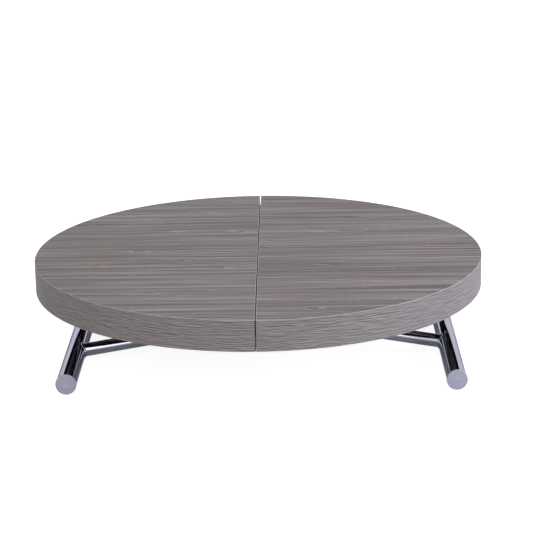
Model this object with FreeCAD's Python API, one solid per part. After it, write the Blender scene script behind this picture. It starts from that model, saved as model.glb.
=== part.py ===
import FreeCAD, Part
import math
import os

from FreeCAD import Vector

# Round extendable coffee table that rises on a scissor of chromed tubes, in its lowest position.
# Millimetres. +Z up, X across the seam, Y along the seam. Origin on the floor under the top's centre.

# Round top
top_radius = 600.0
panel_thickness = 22.0
slab_height = 80.0
table_height = 240.0
seam_gap = 3.0
edging_thickness = 1.0
apron_thickness = 18.0
rim_round = 0.8

# Leg frames
foot_tube_radius = 25.5
foot_tube_wall = 2.0
foot_half_length = 451.0
leg_tube_radius = 17.5
leg_tube_wall = 2.0
leg_place_share = 0.3425
leg_side_gap = 2.5
lift_angle = math.radians(33.2)
frame_offset = 10.0
cap_radius = 26.6
cap_rim = 4.0
cap_crown = 1.0
cap_round = 1.5
cap_plug_length = 22.0
cap_plug_wall = 2.0
eye_thickness = 14.0
eye_reach = 50.0
eye_flange = 4.0
eye_plug_length = 24.0
cross_tube_radius = 11.0
cross_tube_wall = 1.5
cross_tube_place = 250.0
centre_pin_radius = 7.0
centre_pin_head_radius = 12.0
centre_pin_head = 5.0
washer_radius = 14.0

# Floor glides
glide_base = 3.0
glide_width = 34.0
glide_length = 40.0
glide_height = 15.0
glide_inset = 51.0
glide_round = 2.0

# Upper pivots, roller axle and rollers
pivot_below_panel = 23.0
pivot_pin_radius = 6.0
pin_head_radius = 9.0
pin_head = 4.0
fork_plate = 5.0
fork_length = 50.0
fork_round = 11.5
fork_side_gap = 3.7
eye_end_gap = 2.5
roller_radius = 13.0
roller_width = 14.0
roller_hub_radius = 9.0
roller_tyre = 3.0
roller_groove = 1.0
channel_wall = 2.5
channel_past_leaf = 18.0

# Platform frame
rail_wall = 2.0
side_rail_height = 48.0
side_rail_width = 20.0
side_rail_place_share = 0.532
side_rail_end_gap = 9.0
side_rail_below_panel = 5.0
end_rail_width = 16.0
end_rail_height = 32.0
end_rail_below_panel = 8.0
end_rail_gap = 4.0
corner_rail_width = 20.0
tie_width = 30.0
tie_height = 20.0
tie_inset = 12.0

# Telescopic slides
slide_height = 45.0
slide_depth = 13.0
slide_wall = 1.5
slide_inner_x = 40.0
slide_screw_radius = 2.5
slide_screw_pitch = 96.0
batten_width = 22.0
batten_overhang = 10.0
batten_end_gap = 80.0
batten_drop = 48.0
batten_chamfer = 2.75

# Rack and pinion that opens both halves alike
tooth_module = 2.0
pinion_teeth = 20
pressure_angle = math.radians(20.0)
flank_shares = (0, 0.3, 0.65, 1)
tooth_backlash = 0.3
root_gap = 0.5
rack_depth = 13.5
rack_height = 12.0
rack_mount_length = 40.0
rack_mount_width = 24.0
rack_mount_round = 3.0
rack_mount_gap = 20.0
rack_batten_gap = 4.5
rack_tail = 12.0
pinion_bore_radius = 5.0
pinion_hub_radius = 13.0
pinion_hub = 2.5
bracket_plate = 4.0
bracket_half_width = 28.0
bracket_round = 13.0
guide_lip = 14.0
post_head_radius = 8.0
post_head = 2.5

# Folded extension leaf
leaf_width = 370.0
leaf_end_gap = 9.0
leaf_thickness = 16.0
leaf_top_gap = 1.6
leaf_corner_round = 3.0
hinge_leaf = 1.2
hinge_width = 60.0
hinge_reach = 32.0
hinge_barrel_radius = 3.0
hinge_place_shares = (-0.36, 0, 0.36)
leaf_support_thickness = 3.5
leaf_support_width = 30.0
leaf_support_inset = 40.0

# Dowels and strips along the seam
dowel_radius = 4.0
dowel_reach = 22.0
dowel_pitch = 210.0
dowel_first_y = -342.0
dowel_count = 4
dowel_nose = 1.0
strip_thickness = 3.7
strip_under = 30.0
strip_over = 14.0
strip_leaf_gap = 6.0
strip_apron_gap = 3.0
strip_lift = 2.0

# Gas springs between the two cross tubes
gas_y = 60.0
gas_cylinder_radius = 9.0
gas_cylinder_wall = 1.5
gas_rod_left = 10.0
gas_rod_radius = 4.0
gas_piston_radius = 7.2
gas_piston_length = 10.0
gas_eye_radius = 15.0
gas_eye_width = 14.0
gas_neck_radius = 6.0
gas_neck_length = 18.0
gas_end_wall = 6.0

# Clearances
running_fit = 0.05
running_gap = 0.3
slide_gap = 0.4
cut_over = 1.0

# Places that follow from the sizes above
UP = Vector(0, 0, 1)
ACROSS = Vector(1, 0, 0)
ALONG = Vector(0, 1, 0)
panel_bottom = table_height - panel_thickness
slab_bottom = table_height - slab_height
seam_face = seam_gap / 2
board_radius = top_radius - edging_thickness
apron_inner = board_radius - apron_thickness
half_travel = leaf_width / 2
outer_leg_y = apron_inner * leg_place_share
inner_leg_y = outer_leg_y - 2 * leg_tube_radius - leg_side_gap
fork_reach = eye_thickness / 2 + running_gap + fork_plate
end_rail_half_length = outer_leg_y + fork_reach + fork_side_gap
end_rail_bottom = panel_bottom - end_rail_below_panel - end_rail_height
end_rail_x = math.sqrt(apron_inner ** 2 - end_rail_half_length ** 2) - end_rail_gap - end_rail_width
pivot_x = end_rail_x - eye_end_gap - leg_tube_radius
pivot_z = panel_bottom - pivot_below_panel
foot_x = pivot_x - frame_offset
foot_z = glide_base + running_gap + foot_tube_radius
leg_length = math.hypot(2 * foot_x, pivot_z - foot_z)
rest_angle = math.atan2(pivot_z - foot_z, 2 * foot_x)
centre_z = (foot_z + pivot_z) / 2
centre_reach = leg_length / 2
glide_place = foot_half_length - glide_inset
cross_tube_x = cross_tube_place * math.cos(rest_angle)
cross_tube_z = centre_z + cross_tube_place * math.sin(rest_angle)
lifted_cross_tube_x = cross_tube_place * math.cos(rest_angle + lift_angle)
gas_cylinder_length = 2 * (lifted_cross_tube_x - gas_eye_radius - gas_neck_length) - gas_rod_left
side_rail_inner_y = apron_inner * side_rail_place_share
side_rail_outer_y = side_rail_inner_y + side_rail_width
side_rail_half_length = math.sqrt(apron_inner ** 2 - side_rail_outer_y ** 2) - side_rail_end_gap
side_rail_top = panel_bottom - side_rail_below_panel
side_rail_bottom = side_rail_top - side_rail_height
slide_z = side_rail_bottom + side_rail_height / 2
slide_outer_y = side_rail_outer_y + slide_depth
batten_outer_y = slide_outer_y + batten_width
batten_outer_x = math.sqrt(apron_inner ** 2 - batten_outer_y ** 2) - batten_end_gap
slide_outer_x = batten_outer_x - batten_overhang
slide_length = slide_outer_x - slide_inner_x
roller_start = inner_leg_y + leg_tube_radius + 3 * running_gap
channel_height = 2 * (roller_radius + running_gap + channel_wall)
channel_outer_y = roller_start + roller_width + running_gap * 4 + channel_wall
channel_end_x = half_travel + channel_past_leaf
tie_near_x = channel_end_x + tie_inset
tie_far_x = side_rail_half_length - tie_width
leaf_half_length = side_rail_inner_y - leaf_end_gap
leaf_bottom = panel_bottom - leaf_top_gap - 2 * leaf_thickness - 2 * hinge_leaf
leaf_support_x = half_travel - leaf_support_inset
strip_start_y = leaf_half_length + strip_leaf_gap
rack_bottom = side_rail_bottom + running_gap * 2
rack_mount_x = bracket_half_width + rack_mount_gap
pitch_radius = tooth_module * pinion_teeth / 2
tooth_pitch = math.pi * tooth_module
rack_back_reach = pitch_radius - tooth_module + rack_depth
pinion_y = -(batten_outer_y + rack_batten_gap + rack_back_reach)


def box(x_range, y_range, z_range):
    """Upright box between the given ranges."""
    size = [high - low for low, high in (x_range, y_range, z_range)]
    return Part.makeBox(size[0], size[1], size[2], Vector(x_range[0], y_range[0], z_range[0]))


def rod(radius, start, end):
    """Solid round bar from start to end."""
    way = end - start
    return Part.makeCylinder(radius, way.Length, start, way)


def pipe(radius, wall, start, end):
    """Round tube from start to end."""
    way = end - start
    unit = Vector(way).normalize()
    bore = rod(radius - wall, start - unit * cut_over, end + unit * cut_over)
    return rod(radius, start, end).cut(bore)


def mirrored_x(shape):
    return shape.mirror(Vector(0, 0, 0), ACROSS)


def mirrored_y(shape):
    return shape.mirror(Vector(0, 0, 0), ALONG)


def both_y(shape):
    """The shape and its mirror image across the X axis, as two solids."""
    return [shape, mirrored_y(shape)]


def prism(points, way):
    """Solid between an outline of points and the same outline moved by way."""
    wire = Part.makePolygon(points + [points[0]])
    return Part.Face(wire).extrude(way)


def hollow_bar(x_range, y_range, z_range, axis):
    """Rectangular tube whose length lies along the given axis, 0 for X and 1 for Y."""
    outer = box(x_range, y_range, z_range)
    ranges = []
    for place, (low, high) in enumerate((x_range, y_range, z_range)):
        shift = -cut_over if place == axis else rail_wall
        ranges.append((low + shift, high - shift))
    return outer.cut(box(*ranges))


def save(name, solids):
    """Write the solids of one node."""
    shape = solids[0] if len(solids) == 1 else Part.makeCompound(solids)
    shape.exportStep("parts/" + name + ".step")


# Left and right half of the top

def half_disc(radius, z_low, z_high, start_x):
    """Half disc on the right of the seam, whose straight side is at start_x."""
    disc = Part.makeCylinder(radius, z_high - z_low, Vector(0, 0, z_low))
    keep = box((start_x, top_radius * 2), (-top_radius * 2, top_radius * 2),
               (z_low - cut_over, z_high + cut_over))
    return disc.common(keep)


def dowel_places():
    return [dowel_first_y + step * dowel_pitch for step in range(dowel_count)]


def dowel_rod(y, radius, low_x, high_x):
    middle_z = panel_bottom + panel_thickness / 2
    return rod(radius, Vector(low_x, y, middle_z), Vector(high_x, y, middle_z))


def drill_dowels(shape, radius):
    reach = dowel_reach + seam_face + cut_over
    for y in dowel_places():
        shape = shape.cut(dowel_rod(y, radius, -reach, reach))
    return shape


def top_panel():
    """Right panel: a board half disc with the seam edging's room left free and dowel holes."""
    start = seam_face + edging_thickness
    board = half_disc(board_radius, panel_bottom, table_height, start)
    return drill_dowels(board, dowel_radius + running_gap)


def apron():
    """Right apron: a bent half ring under the panel's rim."""
    start = seam_face + edging_thickness
    outer = half_disc(board_radius, slab_bottom, panel_bottom, start)
    inner = half_disc(apron_inner, slab_bottom - cut_over, panel_bottom + cut_over, start - cut_over)
    return outer.cut(inner)


def edge_band():
    """Right edging: a thin half ring over the whole height of the slab, its top edge eased."""
    outer = half_disc(top_radius, slab_bottom, table_height, seam_face)
    rim = [edge for edge in outer.Edges
           if isinstance(edge.Curve, Part.Circle) and edge.BoundBox.ZMin > table_height - cut_over]
    outer = outer.makeFillet(rim_round, rim)
    inner = half_disc(board_radius, slab_bottom - cut_over, table_height + cut_over,
                      seam_face - cut_over)
    return outer.cut(inner)


def seam_band():
    """Right seam edging: a thin strip over the panel's seam face and the apron's two ends."""
    end_y = math.sqrt(board_radius ** 2 - (seam_face + edging_thickness) ** 2)
    apron_y = math.sqrt(apron_inner ** 2 - (seam_face + edging_thickness) ** 2)
    x_range = (seam_face, seam_face + edging_thickness)
    strip = box(x_range, (-end_y, end_y), (panel_bottom, table_height))
    for end in both_y(box(x_range, (apron_y, end_y), (slab_bottom, panel_bottom))):
        strip = strip.fuse(end)
    return drill_dowels(strip.removeSplitter(), dowel_radius + running_gap)


def battens():
    """Cleats under the right panel that the slides' moving members screw to."""
    x_range = (slide_inner_x - batten_overhang, batten_outer_x)
    bar = box(x_range, (slide_outer_y, batten_outer_y),
              (panel_bottom - batten_drop, panel_bottom))
    lower = [edge for edge in bar.Edges
             if edge.BoundBox.ZMax < panel_bottom - batten_drop + cut_over
             and edge.BoundBox.XLength > slide_length / 2]
    return both_y(bar.makeChamfer(batten_chamfer, lower))


def dowels():
    """Dowels glued in the left half, whose eased noses enter the right half."""
    solids = []
    for y in dowel_places():
        pin = dowel_rod(y, dowel_radius, -dowel_reach - seam_face, dowel_reach)
        ends = [edge for edge in pin.Edges if isinstance(edge.Curve, Part.Circle)]
        pin = pin.makeChamfer(dowel_nose, ends)
        solids.append(pin)
    return solids


def seam_strips():
    """Angle strips in the left half that close the seam under the panels and behind the apron."""
    top_z = panel_bottom - running_gap
    end_y = apron_inner - strip_apron_gap
    x_range = (-strip_under, strip_over)
    strip = box(x_range, (strip_start_y, end_y), (top_z - strip_thickness, top_z))
    flap = box(x_range, (end_y - strip_thickness, end_y), (slab_bottom + strip_lift, top_z))
    return both_y(strip.fuse(flap).removeSplitter())


def build_top_halves():
    save("right_top_panel", [top_panel()])
    save("left_top_panel", [mirrored_x(top_panel())])
    save("right_apron", [apron()])
    save("left_apron", [mirrored_x(apron())])
    save("right_edge_band", [edge_band()])
    save("left_edge_band", [mirrored_x(edge_band())])
    save("right_seam_band", [seam_band()])
    save("left_seam_band", [mirrored_x(seam_band())])
    save("right_battens", battens())
    save("left_battens", [mirrored_x(bar) for bar in battens()])
    save("alignment_dowels", dowels())
    save("seam_strips", seam_strips())


# Telescopic slides

def channel_bar(x_range, back_y, depth, height, wall, opens_out):
    """C profile along X at the middle height of the slides, its back at back_y."""
    side = 1 if opens_out else -1
    low_y, high_y = sorted((back_y, back_y + side * depth))
    outer = box(x_range, (low_y, high_y), (slide_z - height / 2, slide_z + height / 2))
    low_in, high_in = sorted((back_y + side * wall, back_y + side * (depth + cut_over)))
    room = box((x_range[0] - cut_over, x_range[1] + cut_over), (low_in, high_in),
               (slide_z - height / 2 + wall, slide_z + height / 2 - wall))
    return outer.cut(room)


def screw_holes(shape):
    """Holes through the back of a slide member at an even pitch."""
    middle = slide_inner_x + slide_length / 2
    for step in (-1, 0, 1):
        x = middle + step * slide_screw_pitch
        hole = rod(slide_screw_radius, Vector(x, side_rail_outer_y - cut_over, slide_z),
                   Vector(x, slide_outer_y + cut_over, slide_z))
        shape = shape.cut(hole)
    return shape


def slide_members():
    """The fixed, middle and moving member of the right rear slide, nested in each other."""
    x_range = (slide_inner_x, slide_outer_x)
    step_in = 2 * (slide_wall + slide_gap)
    fixed = channel_bar(x_range, side_rail_outer_y, slide_depth - slide_gap, slide_height,
                        slide_wall, True)
    middle_back = side_rail_outer_y + slide_wall + slide_gap
    middle_depth = slide_depth - slide_wall - 3 * slide_gap
    middle = channel_bar(x_range, middle_back, middle_depth, slide_height - step_in, slide_wall, True)
    moving_depth = slide_outer_y - middle_back - slide_wall - slide_gap
    moving = channel_bar(x_range, slide_outer_y, moving_depth, slide_height - 2 * step_in,
                         slide_wall, False)
    return screw_holes(fixed), screw_holes(middle), screw_holes(moving)


def build_slides():
    fixed, middle, moving = slide_members()
    save("slide_fixed", both_y(fixed) + both_y(mirrored_x(fixed)))
    save("right_slide_middle", both_y(middle))
    save("left_slide_middle", both_y(mirrored_x(middle)))
    save("right_slide_moving", both_y(moving))
    save("left_slide_moving", both_y(mirrored_x(moving)))


# Rack and pinion

def involute_point(base_radius, radius, offset, side):
    """Point of an involute flank at the given radius, turned by offset to one side."""
    roll = math.sqrt(max((radius / base_radius) ** 2 - 1, 0))
    angle = offset - side * (roll - math.atan(roll))
    return Vector(radius * math.cos(angle), radius * math.sin(angle), 0)


def pinion():
    """Spur pinion with involute teeth, a hub below and a bore for its post."""
    base_radius = pitch_radius * math.cos(pressure_angle)
    tip_radius = pitch_radius + tooth_module
    root_radius = pitch_radius - tooth_module - root_gap
    involute = math.tan(pressure_angle) - pressure_angle
    half_tooth = math.pi / pinion_teeth / 2 - tooth_backlash / 4 / pitch_radius + involute
    flank_radii = [base_radius + (tip_radius - base_radius) * share for share in flank_shares]
    points = []
    for tooth in range(pinion_teeth):
        middle = 2 * math.pi * tooth / pinion_teeth
        low = middle - half_tooth
        high = middle + half_tooth
        points.append(Vector(root_radius * math.cos(low), root_radius * math.sin(low), 0))
        for radius in flank_radii:
            points.append(involute_point(base_radius, radius, low, -1))
        for radius in reversed(flank_radii):
            points.append(involute_point(base_radius, radius, high, 1))
        points.append(Vector(root_radius * math.cos(high), root_radius * math.sin(high), 0))
    gear = prism(points, UP * rack_height)
    gear.translate(Vector(0, 0, rack_bottom))
    hub_top = rack_bottom + rack_height + pinion_hub
    gear = gear.fuse(rod(pinion_hub_radius, Vector(0, 0, rack_bottom), Vector(0, 0, hub_top)))
    bore = rod(pinion_bore_radius + running_fit, Vector(0, 0, rack_bottom - cut_over),
               Vector(0, 0, hub_top + cut_over))
    gear = gear.cut(bore).removeSplitter()
    gear.translate(Vector(0, pinion_y, 0))
    return gear


def rack():
    """Rack of the right half, on the pinion's front side, toothed where it meets the pinion."""
    pitch_y = pinion_y - pitch_radius
    tip_y = pitch_y + tooth_module
    root_y = pitch_y - tooth_module - root_gap
    back_y = root_y - (rack_depth - 2 * tooth_module - root_gap)
    lean = math.tan(pressure_angle)
    flat = tooth_pitch / 4 - tooth_backlash / 4
    tooth_count = int((half_travel + 2 * rack_tail) / tooth_pitch)
    first = rack_tail / tooth_pitch
    points = [Vector(rack_mount_x + rack_mount_length, back_y, 0),
              Vector(rack_mount_x + rack_mount_length, root_y, 0)]
    for tooth in range(tooth_count):
        middle = (math.floor(first) + 0.5 - tooth) * tooth_pitch
        points.append(Vector(middle + flat + lean * (pitch_y - root_y), root_y, 0))
        points.append(Vector(middle + flat - lean * tooth_module, tip_y, 0))
        points.append(Vector(middle - flat + lean * tooth_module, tip_y, 0))
        points.append(Vector(middle - flat - lean * (pitch_y - root_y), root_y, 0))
    end_x = (math.floor(first) - tooth_count) * tooth_pitch
    points.append(Vector(end_x, root_y, 0))
    points.append(Vector(end_x, back_y, 0))
    bar = prism(points, UP * rack_height)
    bar.translate(Vector(0, 0, rack_bottom))
    return bar


def rack_mount():
    """Block that hangs the right rack's solid end under the right panel."""
    back_y = pinion_y - rack_back_reach
    mount = box((rack_mount_x, rack_mount_x + rack_mount_length),
                (back_y, back_y + rack_mount_width), (rack_bottom + rack_height, panel_bottom))
    upright = [edge for edge in mount.Edges if edge.BoundBox.ZLength > rack_height]
    return mount.makeFillet(rack_mount_round, upright)


def turned_about_pinion(shape):
    """The left half's copy: half a turn about the pinion's axis."""
    copy = shape.copy()
    copy.rotate(Vector(0, pinion_y, 0), UP, 180)
    return copy


def pinion_bracket():
    """Plate under the front side rail that carries the pinion, with a lip behind each rack."""
    lip_gap = rack_back_reach + running_gap
    x_range = (-bracket_half_width, bracket_half_width)
    front_y = pinion_y - lip_gap - guide_lip
    plate = box(x_range, (front_y, -side_rail_inner_y),
                (side_rail_bottom - bracket_plate, side_rail_bottom))
    upright = [edge for edge in plate.Edges
               if edge.BoundBox.ZLength > bracket_plate / 2 and edge.BoundBox.YMax < pinion_y]
    plate = plate.makeFillet(bracket_round, upright)
    lip_x = (-bracket_half_width + guide_lip, bracket_half_width - guide_lip)
    for side in (-1, 1):
        lip_y = sorted((pinion_y + side * lip_gap, pinion_y + side * (lip_gap + guide_lip / 2)))
        plate = plate.fuse(box(lip_x, lip_y, (side_rail_bottom, rack_bottom + rack_height)))
    return plate.removeSplitter()


def pinion_post():
    """Headed post on which the pinion turns."""
    hub_top = rack_bottom + rack_height + pinion_hub
    post = rod(pinion_bore_radius, Vector(0, pinion_y, side_rail_bottom),
               Vector(0, pinion_y, hub_top + running_gap + post_head))
    head = rod(post_head_radius, Vector(0, pinion_y, hub_top + running_gap),
               Vector(0, pinion_y, hub_top + running_gap + post_head))
    return post.fuse(head).removeSplitter()


def build_equaliser():
    save("right_rack", [rack()])
    save("left_rack", [turned_about_pinion(rack())])
    save("right_rack_mount", [rack_mount()])
    save("left_rack_mount", [turned_about_pinion(rack_mount())])
    save("pinion_gear", [pinion()])
    save("pinion_bracket", [pinion_bracket()])
    save("pinion_post", [pinion_post()])


# Platform frame

def corner_rail():
    """Rectangular tube across a corner, from the end rail to the side rail, mitred to both."""
    start = Vector(end_rail_x + end_rail_width / 2, end_rail_half_length, end_rail_bottom)
    end = Vector(side_rail_half_length, side_rail_inner_y, end_rail_bottom)
    way = end - start
    bar = hollow_bar((-way.Length, 2 * way.Length), (-corner_rail_width / 2, corner_rail_width / 2),
                     (0, end_rail_height), 0)
    bar.rotate(Vector(0, 0, 0), UP, math.degrees(math.atan2(way.y, way.x)))
    bar.translate(start)
    keep = box((side_rail_half_length, top_radius), (end_rail_half_length, top_radius),
               (end_rail_bottom, end_rail_bottom + end_rail_height))
    return bar.common(keep)


def end_rail(side):
    """Rectangular tube along Y beyond the legs' upper ends."""
    x_range = sorted((side * end_rail_x, side * (end_rail_x + end_rail_width)))
    return hollow_bar(x_range, (-end_rail_half_length, end_rail_half_length),
                      (end_rail_bottom, end_rail_bottom + end_rail_height), 1)


def side_rail():
    return hollow_bar((-side_rail_half_length, side_rail_half_length),
                      (side_rail_inner_y, side_rail_outer_y), (side_rail_bottom, side_rail_top), 0)


def rail_ties():
    """Short tubes between the roller channels and the side rails."""
    low_z = pivot_z - tie_height / 2
    solids = []
    for start_x in (-tie_near_x - tie_width, -tie_far_x - tie_width):
        tie = hollow_bar((start_x, start_x + tie_width), (channel_outer_y, side_rail_inner_y),
                         (low_z, low_z + tie_height), 1)
        solids += both_y(tie)
    return solids


def roller_channel():
    """C channel, open towards the leg, in which a roller runs."""
    low_y = roller_start - running_gap
    half = channel_height / 2
    outer = box((-end_rail_x, -channel_end_x), (low_y, channel_outer_y),
                (pivot_z - half, pivot_z + half))
    room = box((-end_rail_x - cut_over, -channel_end_x + cut_over),
               (low_y - cut_over, channel_outer_y - channel_wall),
               (pivot_z - half + channel_wall, pivot_z + half - channel_wall))
    return outer.cut(room)


def pivot_fork():
    """Two plates on the right end rail that hold one outer leg's eye between them."""
    start_x = end_rail_x - fork_length
    height = 2 * leg_tube_radius
    gap = eye_thickness / 2 + running_gap
    solids = []
    for side in (-1, 1):
        low_y, high_y = sorted((outer_leg_y + side * gap, outer_leg_y + side * (gap + fork_plate)))
        plate = box((start_x, end_rail_x), (low_y, high_y),
                    (pivot_z - height / 2, pivot_z + height / 2))
        corners = [edge for edge in plate.Edges
                   if edge.BoundBox.YLength > fork_plate / 2 and edge.BoundBox.XMax < pivot_x]
        plate = plate.makeFillet(fork_round, corners)
        bore = rod(pivot_pin_radius + running_fit, Vector(pivot_x, low_y - cut_over, pivot_z),
                   Vector(pivot_x, high_y + cut_over, pivot_z))
        solids.append(plate.cut(bore))
    return solids


def headed_pin(x, z, low_y, high_y, radius, head_radius, head):
    """Pin along Y with a head at each end, outside low_y and high_y."""
    pin = rod(radius, Vector(x, low_y - head, z), Vector(x, high_y + head, z))
    for start, end in ((low_y - head, low_y), (high_y, high_y + head)):
        pin = pin.fuse(rod(head_radius, Vector(x, start, z), Vector(x, end, z)))
    return pin.removeSplitter()


def upper_pivot_pin():
    reach = fork_reach + running_gap
    return headed_pin(pivot_x, pivot_z, outer_leg_y - reach, outer_leg_y + reach,
                      pivot_pin_radius, pin_head_radius, pin_head)


def build_platform():
    save("side_rails", both_y(side_rail()))
    save("end_rails", [end_rail(-1), end_rail(1)])
    save("corner_rails", both_y(corner_rail()) + both_y(mirrored_x(corner_rail())))
    save("rail_ties", rail_ties())
    save("roller_channels", both_y(roller_channel()))
    save("pivot_forks", pivot_fork() + [mirrored_y(plate) for plate in pivot_fork()])
    save("upper_pivot_pins", both_y(upper_pivot_pin()))


# Folded extension leaf

def leaf_panel(z_low):
    """One of the leaf's two panels, its corners slightly rounded."""
    panel = box((-leaf_width / 2, leaf_width / 2), (-leaf_half_length, leaf_half_length),
                (z_low, z_low + leaf_thickness))
    upright = [edge for edge in panel.Edges if edge.BoundBox.ZLength > leaf_thickness / 2]
    return panel.makeFillet(leaf_corner_round, upright)


def leaf_hinge(x):
    """Butt hinge: two leaves between the panels and a barrel behind their rear edge."""
    middle_z = leaf_bottom + leaf_thickness + hinge_leaf
    barrel_y = leaf_half_length + hinge_barrel_radius + running_gap
    low_x = x - hinge_width / 2
    high_x = x + hinge_width / 2
    plate = box((low_x, high_x), (leaf_half_length - hinge_reach, barrel_y),
                (middle_z - hinge_leaf, middle_z + hinge_leaf))
    barrel = rod(hinge_barrel_radius, Vector(low_x, barrel_y, middle_z),
                 Vector(high_x, barrel_y, middle_z))
    return plate.fuse(barrel).removeSplitter()


def leaf_support(x):
    """Flat bar between the side rails under the folded leaf."""
    return box((x - leaf_support_width / 2, x + leaf_support_width / 2),
               (-side_rail_inner_y, side_rail_inner_y),
               (leaf_bottom - leaf_support_thickness, leaf_bottom))


def build_leaf():
    save("leaf_lower_panel", [leaf_panel(leaf_bottom)])
    save("leaf_upper_panel", [leaf_panel(leaf_bottom + leaf_thickness + 2 * hinge_leaf)])
    save("leaf_hinges", [leaf_hinge(share * leaf_width) for share in hinge_place_shares])
    save("leaf_supports", [leaf_support(-leaf_support_x), leaf_support(leaf_support_x)])


# Leg frames, drawn for the frame whose foot is on the left, mirrored for the other, then moved

def along_leg(distance):
    """Point on the left-footed leg's centre line, at a distance from the foot tube's axis."""
    return Vector(-foot_x + distance * math.cos(rest_angle), 0,
                  foot_z + distance * math.sin(rest_angle))


def save_in_frame(name, solids):
    """Write a node of the leg frames, whose middle is beside the top's centre."""
    for solid in solids:
        solid.translate(ACROSS * frame_offset)
    save(name, solids)


def foot_tube():
    return pipe(foot_tube_radius, foot_tube_wall, Vector(-foot_x, -foot_half_length, foot_z),
                Vector(-foot_x, foot_half_length, foot_z))


def foot_cap():
    """Crowned cap with a hollow plug that is pushed into the rear end of the foot tube."""
    face_y = foot_half_length + cap_rim
    face_radius = cap_radius - cap_round
    crown_radius = (face_radius ** 2 + cap_crown ** 2) / (2 * cap_crown)
    middle_drop = crown_radius - math.sqrt(crown_radius ** 2 - (face_radius / 2) ** 2)
    turn = cap_round * math.sin(math.pi / 4)
    crown = Part.Arc(Vector(0, face_y + cap_crown, 0),
                     Vector(face_radius / 2, face_y + cap_crown - middle_drop, 0),
                     Vector(face_radius, face_y, 0)).toShape()
    edge = Part.Arc(Vector(face_radius, face_y, 0),
                    Vector(face_radius + turn, face_y - cap_round + turn, 0),
                    Vector(cap_radius, face_y - cap_round, 0)).toShape()
    plug_radius = foot_tube_radius - foot_tube_wall - running_fit
    plug_end = foot_half_length - cap_plug_length
    corner = [Vector(cap_radius, face_y - cap_round, 0), Vector(cap_radius, foot_half_length, 0),
              Vector(plug_radius, foot_half_length, 0), Vector(plug_radius, plug_end, 0),
              Vector(plug_radius - cap_plug_wall, plug_end, 0),
              Vector(plug_radius - cap_plug_wall, foot_half_length, 0),
              Vector(0, foot_half_length, 0), Vector(0, face_y + cap_crown, 0)]
    wire = Part.Wire([crown, edge] + Part.makePolygon(corner).Edges)
    cap = Part.Face(wire).revolve(Vector(0, 0, 0), ALONG, 360)
    cap.translate(Vector(-foot_x, 0, foot_z))
    return cap


def leg_tube(y):
    """Leg tube, coped to the foot tube below, cut square above and drilled for the centre pin."""
    shift = Vector(0, y, 0)
    tube = pipe(leg_tube_radius, leg_tube_wall, along_leg(0) + shift,
                along_leg(leg_length - eye_reach) + shift)
    cope = rod(foot_tube_radius, Vector(-foot_x, y - foot_tube_radius * 2, foot_z),
               Vector(-foot_x, y + foot_tube_radius * 2, foot_z))
    hole = rod(centre_pin_radius + running_fit, Vector(0, y - leg_tube_radius * 2, centre_z),
               Vector(0, y + leg_tube_radius * 2, centre_z))
    return tube.cut(cope).cut(hole)


def leg_eye(y):
    """Lug whose round plug closes the leg tube's upper end and whose eye takes the pivot pin."""
    shift = Vector(0, y, 0)
    tube_end = leg_length - eye_reach
    pivot = along_leg(leg_length) + shift
    plug = rod(leg_tube_radius - leg_tube_wall - running_fit,
               along_leg(tube_end - eye_plug_length) + shift, along_leg(tube_end) + shift)
    flange = rod(leg_tube_radius, along_leg(tube_end) + shift,
                 along_leg(tube_end + eye_flange) + shift)
    lug = Part.makeBox(eye_reach - eye_flange / 2, eye_thickness, 2 * leg_tube_radius,
                       Vector(0, -eye_thickness / 2, -leg_tube_radius))
    lug.rotate(Vector(0, 0, 0), ALONG, -math.degrees(rest_angle))
    lug.translate(along_leg(tube_end + eye_flange / 2) + shift)
    half = Vector(0, eye_thickness / 2, 0)
    round_end = rod(leg_tube_radius, pivot - half, pivot + half)
    bore = rod(pivot_pin_radius + running_fit, pivot - half * 2, pivot + half * 2)
    return plug.fuse([flange, lug, round_end]).cut(bore).removeSplitter()


def cross_tube(leg_y):
    """Round tube between a frame's two legs, coped to them."""
    centre = Vector(cross_tube_x, 0, cross_tube_z)
    shift = Vector(0, leg_y, 0)
    tube = pipe(cross_tube_radius, cross_tube_wall, centre - shift, centre + shift)
    for side in (-1, 1):
        leg = rod(leg_tube_radius, along_leg(centre_reach) + shift * side,
                  along_leg(leg_length) + shift * side)
        tube = tube.cut(leg)
    return tube


def centre_pins():
    """Headed pins through the crossing legs."""
    low_y = inner_leg_y - leg_tube_radius - running_gap
    high_y = outer_leg_y + leg_tube_radius + running_gap
    return both_y(headed_pin(0, centre_z, low_y, high_y, centre_pin_radius,
                             centre_pin_head_radius, centre_pin_head))


def centre_washers():
    """Washers on the centre pins, between an outer and an inner leg."""
    low_y = inner_leg_y + leg_tube_radius + running_gap
    high_y = outer_leg_y - leg_tube_radius - running_gap
    return both_y(pipe(washer_radius, washer_radius - centre_pin_radius - running_fit,
                       Vector(0, low_y, centre_z), Vector(0, high_y, centre_z)))


def roller_axle():
    """Axle through both inner legs' eyes."""
    end_y = roller_start + roller_width
    return rod(pivot_pin_radius, Vector(-foot_x, -end_y, pivot_z), Vector(-foot_x, end_y, pivot_z))


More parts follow.
